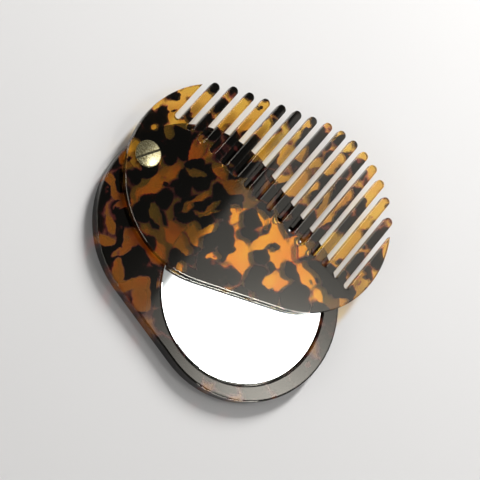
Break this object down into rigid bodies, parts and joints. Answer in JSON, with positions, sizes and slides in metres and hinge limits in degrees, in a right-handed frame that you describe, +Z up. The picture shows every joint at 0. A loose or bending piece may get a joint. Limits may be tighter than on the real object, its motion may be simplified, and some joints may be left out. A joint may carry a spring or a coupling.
{
  "type": "pocket mirror comb",
  "caption": "Two flat round-ended plates turn on one screw: the upper is a comb with a slanted row of teeth, the lower carries a round mirror in a pocket.",
  "frame": {"origin": "middle of the mirror plate's underside", "axes": "+X along the mirror plate towards the mirror's end, +Z up through the plates, out of the mirror's face"},
  "size_m": [0.0983, 0.097, 0.0083],
  "materials": {
    "plate_acetate": "polished",
    "comb_acetate": "polished",
    "mirror_surface": "polished",
    "adhesive_foam": "matte",
    "washer_nylon": "satin",
    "gilt_brass": "polished"
  },
  "bodies": {
    "mirror_case": {"mirror_plate": "plate_acetate", "mirror_glass": "mirror_surface", "adhesive_pad": "adhesive_foam", "barrel_nut": "gilt_brass", "pivot_washer": "washer_nylon", "pivot_screw": "gilt_brass"},
    "comb": {"comb_plate": "comb_acetate"}
  },
  "joints": [
    {"name": "comb_swivel", "type": "hinge", "parent": "mirror_case", "child": "comb", "pos_m": [-0.041, 0, 0.0061], "axis": [0, 0, 1], "continuous": true}
  ]
}
